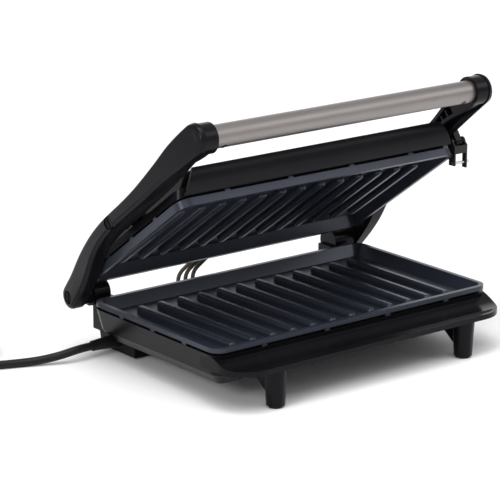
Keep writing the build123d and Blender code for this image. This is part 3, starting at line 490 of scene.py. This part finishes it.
class PRESS_OT_plates(bpy.types.Operator):
    """Coat the two ribbed plates"""

    bl_idname = "press.plates"
    bl_label = "Cooking plates"

    def execute(self, context):
        coating = nonstick("non-stick coating", tuple(context.scene.press_finish.plate))
        wear(coating, "lower_plate", "upper_plate")
        return {"FINISHED"}


class PRESS_OT_housing(bpy.types.Operator):
    """Finish the base, the lid and its fascia"""

    bl_idname = "press.housing"
    bl_label = "Housings"

    def execute(self, context):
        colour = tuple(context.scene.press_finish.housing)
        wear(moulded("black housing", colour, roughness=0.2), "base_housing")
        wear(moulded("lid housing", colour, roughness=0.28), "lid_shell")
        wear(moulded("front fascia", shade(colour, brightness=1.2), roughness=0.26), "front_fascia")
        return {"FINISHED"}


class PRESS_OT_arms(bpy.types.Operator):
    """Finish the side arms, the bar handle and their screws"""

    bl_idname = "press.arms"
    bl_label = "Arms and handle"

    # Near-black screw colour: painted shade, so the screws sitting in their recesses and holes read as dark
    # as shaded hollows
    recess_shade_dark = (0.006, 0.006, 0.0065)

    def execute(self, context):
        colours = context.scene.press_finish
        wear(moulded("arm plastic", tuple(colours.arm), roughness=0.2), "left_arm", "right_arm")
        wear(drawn_metal("satin bar", tuple(colours.tube), roughness=0.38), "handle_tube")
        # Screws darkened to near black as painted recess shade, not a finish of their own
        recess_shaded = drawn_metal("blackened screws", self.recess_shade_dark, 0.45, even_grain, metallic=0.8)
        wear(recess_shaded, "hinge_screws", "pivot_screws", "handle_screws")
        return {"FINISHED"}


class PRESS_OT_latch(bpy.types.Operator):
    """Finish the swing latch"""

    bl_idname = "press.latch"
    bl_label = "Latch"

    black_steel = (0.02, 0.02, 0.021)
    bright_steel = (0.62, 0.61, 0.59)

    def execute(self, context):
        black = drawn_metal("black latch steel", self.black_steel, 0.32, lines_along_z, metallic=0.5)
        wear(black, "latch_clip")
        wear(drawn_metal("bright rod", self.bright_steel, roughness=0.2), "latch_bar", "latch_pin")
        return {"FINISHED"}


class PRESS_OT_inside(bpy.types.Operator):
    """Finish the heaters, reflectors, plate screws, electrical pieces, lenses and lamps"""

    bl_idname = "press.inside"
    bl_label = "Inside pieces and lenses"

    sheath = (0.30, 0.27, 0.24)
    sheet = (0.66, 0.66, 0.67)
    plating = (0.6, 0.6, 0.61)
    ceramic = (0.74, 0.70, 0.62)
    red = (0.5, 0.02, 0.015)
    green = (0.02, 0.32, 0.06)
    warm_tint = (0.95, 0.82, 0.74)
    clear_tint = (0.98, 0.93, 0.9)

    def execute(self, context):
        wear(drawn_metal("heater sheath", self.sheath, roughness=0.4), "lower_element", "upper_element")
        wear(drawn_metal("bright sheet", self.sheet, roughness=0.22), "lower_reflector", "upper_reflector")
        plated = drawn_metal("plated screws", self.plating, 0.25, even_grain)
        wear(plated, "lower_plate_screws", "upper_plate_screws", "thermal_fuse")
        wear(fired_clay("unglazed ceramic", self.ceramic), "thermostat", "terminal_block")
        wear(lens_plastic("red lens", self.red), "power_lens")
        wear(lens_plastic("green lens", self.green), "ready_lens")
        wear(clear_glass("lamp glass", self.warm_tint, self.clear_tint), "indicator_lamps")
        return {"FINISHED"}


class PRESS_OT_soft(bpy.types.Operator):
    """Finish the feet, the grommets, the strain relief, the tie, the plug and its pins"""

    bl_idname = "press.soft"
    bl_label = "Rubber pieces and plug"

    rubber = (0.02, 0.02, 0.02)
    band = (0.03, 0.03, 0.03)
    brass = (0.72, 0.6, 0.36)

    def execute(self, context):
        colour = tuple(context.scene.press_finish.cord)
        wear(rubbery("foot rubber", self.rubber, roughness=0.6), "foot_pads", "base_grommet", "lid_grommet")
        wear(rubbery("moulded plug", colour, roughness=0.4), "strain_relief", "plug_body")
        wear(rubbery("tie band", self.band, roughness=0.45), "cord_tie")
        wear(drawn_metal("brass pins", self.brass, 0.2, even_grain), "plug_pins")
        return {"FINISHED"}


class Softbox(NamedTuple):
    """A square light: the setting that holds its power, its size, where it stands and its aim."""

    name: str
    power: str
    size: float
    place: tuple
    target: tuple


class PRESS_OT_studio(bpy.types.Operator):
    """Set up the floor, the lights and the camera"""

    bl_idname = "press.studio"
    bl_label = "Studio"

    softboxes = (
        Softbox("overhead", "key_power", size=0.5, place=(-0.25, -0.15, 1.25), target=(0.0, 0.0, 0.08)),
        Softbox("left glow", "side_power", size=0.3, place=(-1.1, -0.35, 0.55), target=(0.0, 0.0, 0.09)),
        Softbox("rear glow", "rear_power", size=1.2, place=(1.0, 1.3, 0.6), target=(0.0, 0.0, 0.05)),
        Softbox("right glow", "front_power", size=0.7, place=(1.0, -0.9, 1.0), target=(0.0, 0.0, 0.05)),
    )
    sun_turn = (radians(18.0), radians(-14.0), 0.0)
    floor_half = 30.0
    paper_shades = ((0.93, 0.93, 0.93), (0.95, 0.95, 0.95))
    sensor_width = 36.0
    farthest_view = 100.0

    def execute(self, context):
        scene = context.scene
        studio = scene.press_studio
        self.floor(context)
        self.camera(scene, studio)
        self.sun(scene, studio)
        for softbox in self.softboxes:
            self.light(scene, softbox, getattr(studio, softbox.power))
        self.surround(scene, studio)
        scene.view_settings.view_transform = "Standard"
        return {"FINISHED"}

    def floor(self, context):
        """A pale floor that runs far past the view."""
        half = self.floor_half
        mesh = bpy.data.meshes.new("studio_floor")
        corners = [(-half, -half, 0.0), (half, -half, 0.0), (half, half, 0.0), (-half, half, 0.0)]
        mesh.from_pydata(corners, [], [(0, 1, 2, 3)])
        floor = bpy.data.objects.new("studio_floor", mesh)
        context.collection.objects.link(floor)
        paper = Finish("studio paper", Specular_IOR_Level=0.1)
        cloud = paper.noise(scale=3.0, detail=2.0)
        tint = paper.mix(cloud, *self.paper_shades)
        mesh.materials.append(paper.set(Base_Color=tint, Roughness=0.85 + 0.05 * cloud))

    def camera(self, scene, studio):
        """The photograph's viewpoint."""
        data = bpy.data.cameras.new("studio camera")
        data.sensor_width = self.sensor_width
        data.lens = studio.lens
        data.clip_end = self.farthest_view
        camera = bpy.data.objects.new("studio camera", data)
        scene.collection.objects.link(camera)
        camera.location = studio.camera
        camera.rotation_euler = (pi / 2 - studio.elevation, 0.0, -studio.azimuth)
        scene.camera = camera

    def sun(self, scene, studio):
        """A broad light from above, a little in front and to the left."""
        data = bpy.data.lights.new("broad light", "SUN")
        data.energy = studio.sun_power
        data.angle = studio.sun_spread
        lamp = bpy.data.objects.new("broad light", data)
        scene.collection.objects.link(lamp)
        lamp.rotation_euler = self.sun_turn

    def light(self, scene, softbox, power):
        """A soft square light aimed at a point."""
        data = bpy.data.lights.new(softbox.name, "AREA")
        data.energy = power
        data.size = softbox.size
        lamp = bpy.data.objects.new(softbox.name, data)
        scene.collection.objects.link(lamp)
        lamp.location = softbox.place
        aim = Vector(softbox.target) - Vector(softbox.place)
        lamp.rotation_euler = aim.to_track_quat("-Z", "Y").to_euler()

    def surround(self, scene, studio):
        """Even white light from all round."""
        world = bpy.data.worlds.new("white surround")
        world.use_nodes = True
        background = world.node_tree.nodes["Background"]
        background.inputs["Color"].default_value = (1.0, 1.0, 1.0, 1.0)
        background.inputs["Strength"].default_value = studio.sky
        scene.world = world


class PRESS_PT_panel(bpy.types.Panel):
    """Lists the steps that dress the press"""

    bl_idname = "PRESS_PT_panel"
    bl_label = "Panini press"
    bl_space_type = "VIEW_3D"
    bl_region_type = "UI"
    bl_category = "Press"

    def draw(self, context):
        for step in steps:
            self.layout.operator(step.bl_idname)


steps = (
    PRESS_OT_studio, PRESS_OT_cord, PRESS_OT_wires, PRESS_OT_plates, PRESS_OT_housing, PRESS_OT_arms,
    PRESS_OT_latch, PRESS_OT_inside, PRESS_OT_soft,
)
groups = {
    "press_cord": PressCord, "press_wires": PressWires, "press_finish": PressFinish,
    "press_studio": PressStudio,
}


def register():
    """Make the classes known and hang the settings on the scene."""
    for part in (*groups.values(), *steps, PRESS_PT_panel):
        bpy.utils.register_class(part)
    for name, group in groups.items():
        setattr(bpy.types.Scene, name, PointerProperty(type=group))


def unregister():
    """Take the settings and classes away again."""
    for name in groups:
        delattr(bpy.types.Scene, name)
    for part in (PRESS_PT_panel, *reversed(steps), *groups.values()):
        bpy.utils.unregister_class(part)


def main():
    """Dress the press."""
    register()
    for step in steps:
        family, name = step.bl_idname.split(".")
        getattr(getattr(bpy.ops, family), name)()


if __name__ == "__main__":
    main()
